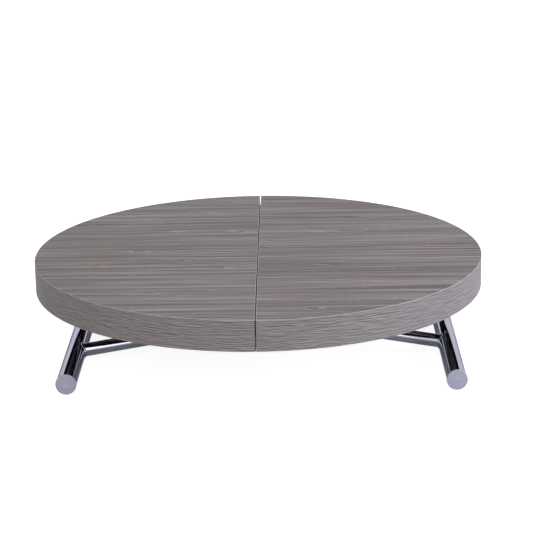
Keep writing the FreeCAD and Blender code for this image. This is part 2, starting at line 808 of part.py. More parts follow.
def roller():
    """Roller with a grooved tread, dished outside, whose long hub reaches the leg's eye."""
    hub_start = inner_leg_y + eye_thickness / 2 + running_gap
    end_y = roller_start + roller_width
    tread = rod(roller_radius, Vector(0, roller_start, 0), Vector(0, end_y, 0))
    hub = rod(roller_hub_radius, Vector(0, hub_start, 0), Vector(0, roller_start, 0))
    dish = pipe(roller_radius - roller_tyre, roller_tyre, Vector(0, end_y - roller_tyre, 0),
                Vector(0, end_y, 0))
    middle_y = roller_start + roller_width / 2
    groove = pipe(roller_radius + cut_over, roller_groove + cut_over,
                  Vector(0, middle_y - roller_groove, 0), Vector(0, middle_y + roller_groove, 0))
    bore = rod(pivot_pin_radius, Vector(0, hub_start - cut_over, 0), Vector(0, end_y + cut_over, 0))
    wheel = tread.fuse(hub).cut(dish.fuse(groove)).cut(bore).removeSplitter()
    wheel.translate(Vector(-foot_x, 0, pivot_z))
    return wheel


def build_leg_frames():
    save_in_frame("left_foot_tube", [foot_tube()])
    save_in_frame("right_foot_tube", [mirrored_x(foot_tube())])
    save_in_frame("left_foot_caps", both_y(foot_cap()))
    save_in_frame("right_foot_caps", both_y(mirrored_x(foot_cap())))
    save_in_frame("outer_leg_tubes", both_y(leg_tube(outer_leg_y)))
    save_in_frame("inner_leg_tubes", both_y(mirrored_x(leg_tube(inner_leg_y))))
    save_in_frame("outer_leg_eyes", both_y(leg_eye(outer_leg_y)))
    save_in_frame("inner_leg_eyes", both_y(mirrored_x(leg_eye(inner_leg_y))))
    save_in_frame("outer_cross_tube", [cross_tube(outer_leg_y)])
    save_in_frame("inner_cross_tube", [mirrored_x(cross_tube(inner_leg_y))])
    save_in_frame("centre_pivot_pins", centre_pins())
    save_in_frame("centre_pivot_washers", centre_washers())
    save_in_frame("roller_axle", [roller_axle()])
    save_in_frame("rollers", both_y(roller()))


# Gas springs

def gas_eye(x, toward):
    """Eye round a cross tube with a neck that leads towards the spring, and the neck's end."""
    half = Vector(0, gas_eye_width / 2, 0)
    centre = Vector(x, gas_y, cross_tube_z)
    eye = rod(gas_eye_radius, centre - half, centre + half)
    neck_end = centre + ACROSS * toward * (gas_eye_radius + gas_neck_length)
    eye = eye.fuse(rod(gas_neck_radius, centre, neck_end))
    bore = rod(cross_tube_radius + running_fit, centre - half * 2, centre + half * 2)
    return eye.cut(bore), neck_end


def gas_cylinder():
    """Cylinder of the rear gas spring, its eye on the left cross tube, and the cylinder's end."""
    eye, start = gas_eye(-cross_tube_x, 1)
    end = start + ACROSS * gas_cylinder_length
    body = rod(gas_cylinder_radius, start, end)
    room = rod(gas_cylinder_radius - gas_cylinder_wall, start + ACROSS * gas_end_wall,
               end - ACROSS * gas_end_wall)
    gland = rod(gas_rod_radius + running_fit, end - ACROSS * gas_end_wall * 2,
                end + ACROSS * cut_over)
    return eye.fuse(body).cut(room).cut(gland).removeSplitter(), end


def gas_rod():
    """Rod drawn out of the cylinder, with its piston, its eye on the right cross tube."""
    cylinder_end = gas_cylinder()[1]
    eye, neck_end = gas_eye(cross_tube_x, -1)
    piston_end = cylinder_end - ACROSS * (gas_end_wall + running_gap)
    piston_start = piston_end - ACROSS * gas_piston_length
    stem = rod(gas_rod_radius, piston_start, neck_end + ACROSS * cut_over)
    piston = rod(gas_piston_radius, piston_start, piston_end)
    return eye.fuse([stem, piston]).removeSplitter()


def build_gas_springs():
    save_in_frame("gas_cylinders", both_y(gas_cylinder()[0]))
    save_in_frame("gas_rods", both_y(gas_rod()))


# Floor glides

def glide():
    """Saddle under the foot tube, flat below and hollowed to the tube."""
    block = box((-foot_x - glide_width / 2, -foot_x + glide_width / 2),
                (glide_place - glide_length / 2, glide_place + glide_length / 2), (0, glide_height))
    corners = [edge for edge in block.Edges if edge.BoundBox.ZLength > glide_height / 2]
    block = block.makeFillet(glide_round, corners)
    room = rod(foot_tube_radius + running_gap,
               Vector(-foot_x, glide_place - glide_length, foot_z),
               Vector(-foot_x, glide_place + glide_length, foot_z))
    return block.cut(room)


def build_glides():
    save_in_frame("left_floor_glides", both_y(glide()))
    save_in_frame("right_floor_glides", both_y(mirrored_x(glide())))


def main():
    os.makedirs("parts", exist_ok=True)
    build_top_halves()
    build_slides()
    build_equaliser()
    build_platform()
    build_leaf()
    build_leg_frames()
    build_gas_springs()
    build_glides()


main()
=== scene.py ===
import logging
import math
from dataclasses import dataclass
from enum import Enum

import bpy
from mathutils import Matrix, Vector


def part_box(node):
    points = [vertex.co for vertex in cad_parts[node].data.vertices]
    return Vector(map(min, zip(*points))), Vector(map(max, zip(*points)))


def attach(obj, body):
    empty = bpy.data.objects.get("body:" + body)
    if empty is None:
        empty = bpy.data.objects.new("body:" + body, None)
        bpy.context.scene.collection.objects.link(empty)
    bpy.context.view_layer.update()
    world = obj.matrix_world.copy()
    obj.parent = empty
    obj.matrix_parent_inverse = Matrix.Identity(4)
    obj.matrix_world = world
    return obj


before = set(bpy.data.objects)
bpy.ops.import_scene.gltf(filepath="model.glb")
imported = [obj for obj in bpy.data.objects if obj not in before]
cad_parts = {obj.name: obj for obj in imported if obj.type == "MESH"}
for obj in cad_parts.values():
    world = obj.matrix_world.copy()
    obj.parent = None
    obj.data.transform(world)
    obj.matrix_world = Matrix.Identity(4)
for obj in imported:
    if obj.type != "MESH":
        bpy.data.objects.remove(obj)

logging.basicConfig(level=logging.INFO, format="%(name)s: %(message)s")
LOG = logging.getLogger("coffee_table")

# Short names for Blender's types
Material = bpy.types.Material
Node = bpy.types.Node
Piece = bpy.types.Object
Socket = bpy.types.NodeSocket
Tree = bpy.types.NodeTree

MILLIMETRE = 0.001
SMOOTH_ANGLE = math.radians(35)
# Most of a noise's values lie between these two
NOISE_SPAN = (0.3, 0.7)
# How much each finer step of a noise counts
NOISE_ROUGHNESS = 0.55


class Half(Enum):
    """The two halves of the round top, named by the side of the seam that they lie on."""

    LEFT = "left"
    RIGHT = "right"

    @property
    def body(self) -> str:
        """Names the half's moving body."""
        return f"{self.value}_half"

    @property
    def sheet_shift(self) -> float:
        """Tells in metres how far along the sheet the half was cut, so the halves' grain differs."""
        return 0.0 if self is Half.LEFT else 23.0


class End(Enum):
    """The table's front and rear, with the sign of Y there."""

    FRONT = -1
    REAR = 1

    @property
    def label(self) -> str:
        """Names the end for the names of pieces."""
        return self.name.lower()


class Frame(Enum):
    """The two leg frames, named by the body that they ride on."""

    OUTER = "outer"
    INNER = "inner"

    @property
    def body(self) -> str:
        """Names the frame's moving body."""
        return f"{self.value}_frame"

    @property
    def foot(self) -> str:
        """Names the CAD node of the frame's foot tube."""
        return "left_foot_tube" if self is Frame.OUTER else "right_foot_tube"


def linear_colour(code: str) -> tuple[float, float, float, float]:
    """Turns an sRGB hex colour into Blender's linear colour.

    Args:
        code: Six hex digits.

    Returns:
        Red, green, blue and alpha, with alpha 1.
    """
    values = [int(code[place:place + 2], 16) / 255 for place in (0, 2, 4)]
    linear = [v / 12.92 if v <= 0.04045 else ((v + 0.055) / 1.055) ** 2.4 for v in values]
    return (linear[0], linear[1], linear[2], 1.0)


def set_inputs(tree: Tree, node: Node, inputs: dict | tuple) -> None:
    """Feeds a node's inputs, each with a value or with a link from another node's output.

    Args:
        tree: The node's tree.
        node: The node.
        inputs: The values and output sockets in the inputs' order, or by the inputs' name or number.
    """
    pairs = inputs.items() if isinstance(inputs, dict) else enumerate(inputs)
    for key, value in pairs:
        if isinstance(value, Socket):
            tree.links.new(value, node.inputs[key])
        else:
            node.inputs[key].default_value = value


def add_node(tree: Tree, kind: str, inputs: dict | tuple = (), shares: tuple[float, ...] = (),
             codes: tuple[str, ...] = (), **settings: object) -> Node:
    """Adds one shader node with its settings and its linked or fixed inputs.

    Args:
        tree: The node tree that gets the node.
        kind: Blender's name of the node type.
        inputs: The inputs, as set_inputs takes them.
        shares: On a colour ramp, the place of each stop.
        codes: On a colour ramp, the sRGB hex colour of each stop.
        **settings: Properties of the node itself.

    Returns:
        The new node.
    """
    node = tree.nodes.new(kind)
    for key, value in settings.items():
        setattr(node, key, value)
    set_inputs(tree, node, inputs)
    for _ in codes[2:]:
        node.color_ramp.elements.new(1.0)
    for number, (share, code) in enumerate(zip(shares, codes)):
        node.color_ramp.elements[number].position = share
        node.color_ramp.elements[number].color = linear_colour(code)
    return node


def centred(tree: Tree, value: Socket, size: float) -> Socket:
    """Turns noise about a half into an offset about zero.

    Args:
        tree: The node tree that gets the nodes.
        value: The noise.
        size: Metres per unit of noise.

    Returns:
        The offset's socket.
    """
    offset = add_node(tree, "ShaderNodeMath", (value, 0.5), operation="SUBTRACT").outputs[0]
    return add_node(tree, "ShaderNodeMath", (offset, size), operation="MULTIPLY").outputs[0]


def weighted_sum(tree: Tree, values: tuple[Socket, ...], shares: tuple[float, ...]) -> Socket:
    """Adds up values, each times its share.

    Args:
        tree: The node tree that gets the nodes.
        values: The values.
        shares: The share of each.

    Returns:
        The sum's socket.
    """
    total = 0.0
    for value, share in zip(values, shares):
        total = add_node(tree, "ShaderNodeMath", (value, share, total),
                         operation="MULTIPLY_ADD").outputs[0]
    return total


def painted(tree: Tree, base: Socket, *coats: tuple[Socket, str]) -> Socket:
    """Lays colours over a base one after the other, each through its mask.

    Args:
        tree: The node tree that gets the nodes.
        base: The colour at the bottom.
        *coats: The mask and the sRGB hex colour of each coat, from the bottom up.

    Returns:
        The socket of the colour on top.
    """
    colour = base
    for mask, code in coats:
        colour = add_node(tree, "ShaderNodeMix", {0: mask, 6: colour, 7: linear_colour(code)},
                          data_type="RGBA").outputs[2]
    return colour


def new_material(name: str) -> tuple[Material, Tree, Node, Socket]:
    """Makes a material with a Principled shader and the object's own coordinates.

    Args:
        name: The material's name.

    Returns:
        The material, its node tree, its Principled node and the socket of the coordinates in metres.
    """
    material = bpy.data.materials.new(name)
    material.use_nodes = True
    tree = material.node_tree
    place = add_node(tree, "ShaderNodeTexCoord").outputs["Object"]
    return material, tree, tree.nodes["Principled BSDF"], place


def dress(material: Material, *names: str) -> None:
    """Gives CAD nodes one material.

    Args:
        material: The finish.
        *names: The CAD nodes.
    """
    for name in names:
        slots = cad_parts[name].data.materials
        slots.clear()
        slots.append(material)
        LOG.info("dressed %s in %s", name, material.name)


@dataclass(frozen=True)
class Layer:
    """One layer of noise in a material.

    The cells are its grain's size along X, Y and Z in millimetres, and the shift is an offset in
    metres that gives the layer a pattern of its own.
    """

    cells: tuple[float, float, float]
    detail: float
    shift: float

    def noise(self, tree: Tree, place: Socket, more_shift: float = 0.0) -> Socket:
        """Adds the layer's noise.

        Args:
            tree: The node tree that gets the nodes.
            place: The coordinates in metres.
            more_shift: Metres added to the layer's own offset.

        Returns:
            The noise value's socket.
        """
        scale = tuple(1 / (size * MILLIMETRE) for size in self.cells)
        move = tuple((more_shift + self.shift) * factor for factor in scale)
        mapping = add_node(tree, "ShaderNodeMapping", {"Vector": place, "Scale": scale, "Location": move})
        inputs = {"Vector": mapping.outputs[0], "Scale": 1.0, "Detail": self.detail,
                  "Roughness": NOISE_ROUGHNESS}
        return add_node(tree, "ShaderNodeTexNoise", inputs).outputs["Fac"]


@dataclass(frozen=True, kw_only=True)
class Marks(Layer):
    """Separate marks, such as pores: nothing where the noise is low, and the most where it is high."""

    low: float
    high: float
    most: float = 1.0

    def mask(self, tree: Tree, place: Socket, more_shift: float = 0.0) -> Socket:
        """Adds the mask of the marks.

        Args:
            tree: The node tree that gets the nodes.
            place: The coordinates in metres.
            more_shift: Metres added to the layer's own offset.

        Returns:
            The mask's socket.
        """
        noise = self.noise(tree, place, more_shift)
        inputs = (noise, self.low, self.high, 0.0, self.most)
        return add_node(tree, "ShaderNodeMapRange", inputs).outputs[0]


@dataclass(frozen=True)
class OakMelamine:
    """Oak-print melamine on board, pressed with a light pore texture.

    Grey-brown, with many fine lines along the grain, a few swerves round hidden knots, short
    pores and a satin sheen, so the eye reads a printed wood and not a painted board. Real pores
    are a few tenths of a millimetre wide, and these are drawn coarser, so that they show.
    """

    name: str
    sheet_shift: float
    tones: tuple[str, ...] = ("5F5555", "6E6564", "7A7171", "877F7F", "989191")
    tone_shares: tuple[float, ...] = (0.41, 0.465, 0.50, 0.535, 0.59)
    dark_line: str = "564949"
    light_line: str = "B3AEAF"
    tints: tuple[str, str] = ("F5FBFC", "FFF7F4")
    tint_shares: tuple[float, float] = (0.38, 0.62)
    slow: Layer = Layer((520, 90, 400), 2.0, 0.0)
    slow_size: float = 0.016
    knots: Marks = Marks((330, 95, 400), 1.0, 2.9, low=0.60, high=0.72)
    swerve: Layer = Layer((95, 40, 400), 1.0, 4.3)
    swerve_size: float = 0.07
    bands: Layer = Layer((1500, 70, 90), 1.0, 1.7)
    streaks: Layer = Layer((900, 12, 40), 2.0, 3.1)
    lines: Layer = Layer((520, 4.3, 30), 2.0, 5.3)
    layer_shares: tuple[float, ...] = (0.16, 0.26, 0.58)
    tint: Layer = Layer((420, 26, 60), 1.5, 7.9)
    thin: Marks = Marks((760, 5.0, 40), 1.5, 9.1, low=0.55, high=0.63, most=0.85)
    glint: Marks = Marks((640, 4.6, 40), 1.5, 11.4, low=0.56, high=0.64, most=0.80)
    fleck_zone: Marks = Marks((210, 26, 60), 1.0, 17.0, low=0.60, high=0.70, most=0.3)
    flecks: Marks = Marks((17, 6, 30), 1.0, 19.0, low=0.52, high=0.60)
    pores: Marks = Marks((18, 1.9, 10), 1.0, 13.0, low=0.58, high=0.70)
    pore_share: float = 0.35
    gloss: tuple[float, float] = (0.46, 0.56)
    specular: float = 0.22
    relief: float = 0.15
    relief_depth: float = 0.00015

    def grain_place(self, tree: Tree, place: Socket) -> Socket:
        """Adds the coordinates that run along the grain and swerve round a few knots.

        Args:
            tree: The material's node tree.
            place: The object's coordinates in metres.

        Returns:
            The socket of the coordinates in metres.
        """
        slow = centred(tree, self.slow.noise(tree, place, self.sheet_shift), self.slow_size)
        here = self.knots.mask(tree, place, self.sheet_shift)
        swerve = centred(tree, self.swerve.noise(tree, place, self.sheet_shift), self.swerve_size)
        parts = add_node(tree, "ShaderNodeSeparateXYZ", (place,)).outputs
        across = add_node(tree, "ShaderNodeMath", (parts[1], slow), operation="ADD").outputs[0]
        across = add_node(tree, "ShaderNodeMath", (swerve, here, across),
                          operation="MULTIPLY_ADD").outputs[0]
        return add_node(tree, "ShaderNodeCombineXYZ", (parts[0], across, parts[2])).outputs[0]

    def tinted_base(self, tree: Tree, grain: Socket, lines: Socket) -> Socket:
        """Adds the grey-brown of bands, streaks and lines, here warmer and there cooler.

        Args:
            tree: The material's node tree.
            grain: The coordinates along the grain.
            lines: The noise of the fine lines.

        Returns:
            The colour's socket.
        """
        bands = self.bands.noise(tree, grain, self.sheet_shift)
        streaks = self.streaks.noise(tree, grain, self.sheet_shift)
        mix = weighted_sum(tree, (bands, streaks, lines), self.layer_shares)
        base = add_node(tree, "ShaderNodeValToRGB", (mix,), self.tone_shares, self.tones).outputs[0]
        tint = self.tint.noise(tree, grain, self.sheet_shift)
        tint = add_node(tree, "ShaderNodeValToRGB", (tint,), self.tint_shares, self.tints).outputs[0]
        return add_node(tree, "ShaderNodeMix", {0: 1.0, 6: base, 7: tint}, data_type="RGBA",
                        blend_type="MULTIPLY").outputs[2]

    def build(self) -> Material:
        """Builds the melamine's node material.

        Returns:
            The finished material.
        """
        material, tree, shader, place = new_material(self.name)
        grain = self.grain_place(tree, place)
        lines = self.lines.noise(tree, grain, self.sheet_shift)
        thin = self.thin.mask(tree, grain, self.sheet_shift)
        glint = self.glint.mask(tree, grain, self.sheet_shift)
        fleck_zone = self.fleck_zone.mask(tree, grain, self.sheet_shift)
        flecks = self.flecks.mask(tree, grain, self.sheet_shift)
        flecks = add_node(tree, "ShaderNodeMath", (fleck_zone, flecks), operation="MULTIPLY").outputs[0]
        pores = self.pores.mask(tree, grain, self.sheet_shift)
        faint_pores = add_node(tree, "ShaderNodeMath", (pores, self.pore_share),
                               operation="MULTIPLY").outputs[0]
        colour = painted(tree, self.tinted_base(tree, grain, lines), (thin, self.dark_line),
                         (glint, self.light_line), (flecks, self.light_line),
                         (faint_pores, self.dark_line))
        gloss = add_node(tree, "ShaderNodeMapRange", (lines, *NOISE_SPAN, *self.gloss)).outputs[0]
        height = add_node(tree, "ShaderNodeMath", (lines, pores), operation="SUBTRACT").outputs[0]
        bump = add_node(tree, "ShaderNodeBump", {"Height": height, "Strength": self.relief,
                                                 "Distance": self.relief_depth})
        set_inputs(tree, shader, {"Base Color": colour, "Roughness": gloss,
                                  "Specular IOR Level": self.specular, "Normal": bump.outputs[0]})
        return material


@dataclass(frozen=True)
class WoodgrainEdging:
    """ABS edging printed as oak, bent round the rim.

    Its fine lines run round the rim in a slow sway, finer and more even than the top's, and a
    painted highlight runs along its upper corner, so the rim reads as a strip of its own.
    """

    name: str
    radius: float
    top: float
    tones: tuple[str, ...] = ("6C6463", "817978", "8C8584", "979190", "A8A3A3")
    tone_shares: tuple[float, ...] = (0.30, 0.41, 0.50, 0.59, 0.70)
    # Painted highlight: a pale band along the rim's upper corner, with its height, fade and share
    painted_highlight: str = "B9B4B4"
    highlight_height: float = 0.0018
    highlight_fade: float = 0.0005
    highlight_share: float = 0.8
    spacing: float = 0.005
    slow: Layer = Layer((150, 80, 50), 1.0, 2.3)
    slow_size: float = 0.010
    quick: Layer = Layer((26, 26, 50), 1.0, 4.1)
    quick_size: float = 0.0014
    lines: Layer = Layer((64, 2.2, 50), 0.0, 6.7)
    fine: Layer = Layer((30, 2.0, 50), 0.0, 8.9)
    bend: Layer = Layer((62, 9, 50), 1.0, 15.3)
    bend_turns: float = 2.0
    layer_shares: tuple[float, ...] = (0.46, 0.34, 0.20)
    pale: Marks = Marks((60, 2.6, 50), 0.0, 12.1, low=0.58, high=0.70, most=0.3)
    roughness: float = 0.42
    specular: float = 0.24
    relief: float = 0.08
    relief_depth: float = 0.0001

    def thin_lines(self, tree: Tree, grain: Socket, layer: Layer) -> Socket:
        """Adds thin lines alone, without the broad zones that plain noise also has.

        Args:
            tree: The material's node tree.
            grain: The coordinates round and across the rim in metres.
            layer: The noise of the lines.

        Returns:
            The socket of the difference between the noise and itself half a line away.
        """
        here = layer.noise(tree, grain)
        beside = layer.noise(tree, grain, self.spacing / 2)
        gap = add_node(tree, "ShaderNodeMath", (here, beside), operation="SUBTRACT").outputs[0]
        return add_node(tree, "ShaderNodeMath", (gap, 0.5), operation="ADD").outputs[0]

    def rings(self, tree: Tree, grain: Socket, height: Socket) -> Socket:
        """Adds the year rings' lines, evenly spaced and bent by a slow noise.

        Args:
            tree: The material's node tree.
            grain: The coordinates round and across the rim in metres.
            height: The height on the rim in metres.

        Returns:
            The socket of a wave between 0 and 1.
        """
        turns = add_node(tree, "ShaderNodeMath", (height, math.tau / self.spacing),
                         operation="MULTIPLY").outputs[0]
        bend = self.bend.noise(tree, grain)
        phase = add_node(tree, "ShaderNodeMath", (bend, self.bend_turns * math.tau, turns),
                         operation="MULTIPLY_ADD").outputs[0]
        wave = add_node(tree, "ShaderNodeMath", (phase,), operation="SINE").outputs[0]
        return add_node(tree, "ShaderNodeMath", (wave, 0.5, 0.5), operation="MULTIPLY_ADD").outputs[0]

    def printed(self, tree: Tree, around: Socket, height: Socket) -> tuple[Socket, Socket]:
        """Adds the printed oak of the rim.

        Args:
            tree: The material's node tree.
            around: The way round the rim in metres.
            height: The height on the rim in metres.

        Returns:
            The sockets of the colour and of the thin lines' noise.
        """
        flat = add_node(tree, "ShaderNodeCombineXYZ", (around, height, 0.0)).outputs[0]
        slow = centred(tree, self.slow.noise(tree, flat), self.slow_size)
        quick = centred(tree, self.quick.noise(tree, flat), self.quick_size)
        sway = add_node(tree, "ShaderNodeMath", (slow, quick), operation="ADD").outputs[0]
        swayed = add_node(tree, "ShaderNodeMath", (height, sway), operation="ADD").outputs[0]
        grain = add_node(tree, "ShaderNodeCombineXYZ", (around, swayed, 0.0)).outputs[0]
        lines = self.thin_lines(tree, grain, self.lines)
        fine = self.thin_lines(tree, grain, self.fine)
        mix = weighted_sum(tree, (lines, fine, self.rings(tree, grain, swayed)), self.layer_shares)
        base = add_node(tree, "ShaderNodeValToRGB", (mix,), self.tone_shares, self.tones).outputs[0]
        pale = self.pale.mask(tree, grain)
        return painted(tree, base, (pale, self.tones[-1])), lines

    def build(self) -> Material:
        """Builds the edging's node material.

        Returns:
            The finished material.
        """
        material, tree, shader, place = new_material(self.name)
        parts = add_node(tree, "ShaderNodeSeparateXYZ", (place,)).outputs
        ahead = add_node(tree, "ShaderNodeMath", (parts[1], -1.0), operation="MULTIPLY").outputs[0]
        angle = add_node(tree, "ShaderNodeMath", (parts[0], ahead), operation="ARCTAN2").outputs[0]
        around = add_node(tree, "ShaderNodeMath", (angle, self.radius), operation="MULTIPLY").outputs[0]
        base, lines = self.printed(tree, around, parts[2])
        # Painted highlight laid over the grain along the top of the rim
        start = self.top - self.highlight_height
        corner = add_node(tree, "ShaderNodeMapRange", (parts[2], start, start + self.highlight_fade,
                                                       0.0, self.highlight_share)).outputs[0]
        bump = add_node(tree, "ShaderNodeBump", {"Height": lines, "Strength": self.relief,
                                                 "Distance": self.relief_depth})
        set_inputs(tree, shader, {"Base Color": painted(tree, base, (corner, self.painted_highlight)),
                                  "Roughness": self.roughness, "Specular IOR Level": self.specular,
                                  "Normal": bump.outputs[0]})
        return material


@dataclass(frozen=True)
class SeamEdging:
    """Straight edging along the seam: printed grain on its face, and a painted highlight on its top edge.

    The painted highlight gives each half the thin light line beside the seam, and the face's grain
    is darker than the rim's, as painted shade that keeps the seam dark.
    """

    name: str
    top: float
    # Painted highlight along the top edge: its depth, its colour and its brighter spots
    trim: float = 0.0006
    edge: str = "ADA8A8"
    painted_highlight: str = "C8C4C5"
    # Painted shade: the face's grain is darker than the rim's, so the seam stays dark
    faces: tuple[str, str] = ("5F5655", "7B7372")
    face_shares: tuple[float, float] = (0.38, 0.62)
    lines: Layer = Layer((50, 90, 2.6), 1.0, 3.7)
    scrapes_and_highlight: Layer = Layer((2, 14, 3), 2.0, 1.3)
    highlight_span: tuple[float, float] = (0.35, 0.65)
    roughness: float = 0.5
    relief: float = 0.15
    relief_depth: float = 0.0001

    def build(self) -> Material:
        """Builds the seam edging's node material.

        Returns:
            The finished material.
        """
        material, tree, shader, place = new_material(self.name)
        height = add_node(tree, "ShaderNodeSeparateXYZ", (place,)).outputs[2]
        lines = self.lines.noise(tree, place)
        face = add_node(tree, "ShaderNodeValToRGB", (lines,), self.face_shares, self.faces).outputs[0]
        # Painted highlight: a pale band at the top edge, brighter where the noise is high; the same noise
        # also gives the bump
        edge = add_node(tree, "ShaderNodeMapRange", (height, self.top - self.trim,
                                                     self.top - self.trim / 2)).outputs[0]
        scrapes_and_highlight = self.scrapes_and_highlight.noise(tree, place)
        painted_highlight = add_node(tree, "ShaderNodeMapRange", (scrapes_and_highlight, *self.highlight_span)).outputs[0]
        painted_highlight = add_node(tree, "ShaderNodeMath", (edge, painted_highlight), operation="MULTIPLY").outputs[0]
        bump = add_node(tree, "ShaderNodeBump", {"Height": scrapes_and_highlight, "Strength": self.relief,
                                                 "Distance": self.relief_depth})
        colour = painted(tree, face, (edge, self.edge), (painted_highlight, self.painted_highlight))
        set_inputs(tree, shader, {"Base Color": colour, "Roughness": self.roughness,
                                  "Normal": bump.outputs[0]})
        return material


@dataclass(frozen=True)
class BackingBoard:
    """Dark melamine backing on chipboard: a nearly black brown with a dull, speckled surface."""

    name: str
    tones: tuple[str, str] = ("161413", "26221F")
    tone_shares: tuple[float, float] = (0.35, 0.65)
    chips: Layer = Layer((4, 4, 4), 3.0, 1.1)
    clouds: Layer = Layer((120, 60, 60), 2.0, 2.2)
    layer_shares: tuple[float, float] = (0.5, 0.5)
    roughness: float = 0.62
    relief: float = 0.15
    relief_depth: float = 0.0002

    def build(self) -> Material:
        """Builds the backing's node material.

        Returns:
            The finished material.
        """
        material, tree, shader, place = new_material(self.name)
        chips = self.chips.noise(tree, place)
        mix = weighted_sum(tree, (chips, self.clouds.noise(tree, place)), self.layer_shares)
        colour = add_node(tree, "ShaderNodeValToRGB", (mix,), self.tone_shares, self.tones).outputs[0]
        bump = add_node(tree, "ShaderNodeBump", {"Height": chips, "Strength": self.relief,
                                                 "Distance": self.relief_depth})
        set_inputs(tree, shader, {"Base Color": colour, "Roughness": self.roughness,
                                  "Normal": bump.outputs[0]})
        return material


@dataclass(frozen=True)
class Metal:
    """A metal surface with fine marks: polished chrome, zinc plating or satin paint.

    The marks' cells set how long the marks are, and the gloss how far they blur a reflection.
    """

    name: str
    tones: tuple[str, str]
    gloss: tuple[float, float]
    mark_cells: tuple[float, float, float]
    metallic: float = 1.0
    edge: str = "FFFFFF"
    relief: float = 0.05
    relief_depth: float = 0.0001
    tone_shares: tuple[float, float] = (0.35, 0.72)
    smears: Layer = Layer((90, 70, 60), 2.0, 3.3)

    def build(self) -> Material:
        """Builds the metal's node material.

        Returns:
            The finished material.
        """
        material, tree, shader, place = new_material(self.name)
        marks = Layer(self.mark_cells, 3.0, 0.7).noise(tree, place)
        smears = self.smears.noise(tree, place)
        colour = add_node(tree, "ShaderNodeValToRGB", (smears,), self.tone_shares, self.tones).outputs[0]
        gloss = add_node(tree, "ShaderNodeMapRange", (smears, *NOISE_SPAN, *self.gloss)).outputs[0]
        bump = add_node(tree, "ShaderNodeBump", {"Height": marks, "Strength": self.relief,
                                                 "Distance": self.relief_depth})
        set_inputs(tree, shader, {"Base Color": colour, "Roughness": gloss, "Metallic": self.metallic,
                                  "Specular Tint": linear_colour(self.edge),
                                  "Normal": bump.outputs[0]})
        return material


@dataclass(frozen=True)
class ZincPlate(Metal):
    """Bright zinc plating with long brush marks: a cool grey that blurs what it reflects."""

    tones: tuple[str, str] = ("A9ACAF", "8F9296")
    gloss: tuple[float, float] = (0.28, 0.40)
    mark_cells: tuple[float, float, float] = (20, 1, 1)


@dataclass(frozen=True)
class Moulded:
    """Moulded plastic, rubber or powder coat: one colour with a fine, even texture and gloss.

    The real texture is finer than the render shows, and it is drawn coarser, so that it shows.
    """

    name: str
    tones: tuple[str, str]
    roughness: float
    grit_size: float
    tone_shares: tuple[float, float] = (0.3, 0.75)
    clouds: Layer = Layer((40, 40, 40), 2.0, 5.1)
    gloss_spread: float = 0.06
    relief: float = 0.2
    relief_depth: float = 0.0001

    def build(self) -> Material:
        """Builds the plastic's node material.

        Returns:
            The finished material.
        """
        material, tree, shader, place = new_material(self.name)
        grit = Layer((self.grit_size, self.grit_size, self.grit_size), 2.0, 0.9).noise(tree, place)
        clouds = self.clouds.noise(tree, place)
        colour = add_node(tree, "ShaderNodeValToRGB", (clouds,), self.tone_shares, self.tones).outputs[0]
        spread = (self.roughness - self.gloss_spread, self.roughness + self.gloss_spread)
        gloss = add_node(tree, "ShaderNodeMapRange", (grit, *NOISE_SPAN, *spread)).outputs[0]
        bump = add_node(tree, "ShaderNodeBump", {"Height": grit, "Strength": self.relief,
                                                 "Distance": self.relief_depth})
        set_inputs(tree, shader, {"Base Color": colour, "Roughness": gloss, "Normal": bump.outputs[0]})
        return material


@dataclass(frozen=True)
class Beech:
    """Planed beech: pale or steamed pinkish brown with short, fine flecks along the grain."""

    name: str
    tones: tuple[str, str] = ("9C7B58", "C6A47C")
    tone_shares: tuple[float, float] = (0.32, 0.66)
    grain: Layer = Layer((60, 3, 3), 3.0, 0.4)
    flecks: Layer = Layer((6, 0.8, 0.8), 1.0, 2.6)
    layer_shares: tuple[float, float] = (0.7, 0.3)
    roughness: float = 0.6

    def build(self) -> Material:
        """Builds the beech's node material.

        Returns:
            The finished material.
        """
        material, tree, shader, place = new_material(self.name)
        mix = weighted_sum(tree, (self.grain.noise(tree, place), self.flecks.noise(tree, place)),
                           self.layer_shares)
        colour = add_node(tree, "ShaderNodeValToRGB", (mix,), self.tone_shares, self.tones).outputs[0]
        set_inputs(tree, shader, {"Base Color": colour, "Roughness": self.roughness})
        return material


def select_only(piece: Piece) -> None:
    """Makes one object the only selected and the active one.

    Args:
        piece: The object.
    """
    bpy.ops.object.select_all(action="DESELECT")
    piece.select_set(True)
    bpy.context.view_layer.objects.active = piece


def copy_of(model: Piece) -> Piece:
    """Copies a model that repeats, each copy with a mesh of its own.

    Args:
        model: The piece as modelled, at the origin.

    Returns:
        The copy.
    """
    select_only(model)
    bpy.ops.object.duplicate(linked=False)
    return bpy.context.object


def remove(piece: Piece) -> None:
    """Takes a cutter, or a model that was copied, out of the scene.

    Args:
        piece: The object.
    """
    bpy.data.objects.remove(piece, do_unlink=True)


def bevel(piece: Piece, name: str, width: float, segments: int,
          angle: float = math.radians(30)) -> None:
    """Rounds a piece's edges with a bevel that is applied at once.

    Args:
        piece: The active object.
        name: The modifier's name.
        width: The bevel's width in metres.
        segments: How many steps it has.
        angle: The smallest angle between faces that is rounded.
    """
    rounding = piece.modifiers.new(name, "BEVEL")
    rounding.width = width
    rounding.segments = segments
    rounding.angle_limit = angle
    bpy.ops.object.modifier_apply(modifier=rounding.name)


def finish(piece: Piece, name: str, material: Material, body: str, place: Matrix) -> None:
    """Moves a piece's mesh to its place, smooths it, dresses it and ties it to its body.

    Args:
        piece: The object, at the origin.
        name: Its name.
        material: Its finish.
        body: The moving body that it rides on.
        place: The matrix from the mesh as built to its place in the frame.
    """
    piece.name = name
    piece.data.transform(place)
    piece.data.materials.clear()
    piece.data.materials.append(material)
    select_only(piece)
    bpy.ops.object.shade_smooth_by_angle(angle=SMOOTH_ANGLE)
    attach(piece, body)
    LOG.info("added %s on %s, %d faces", name, body, len(piece.data.polygons))


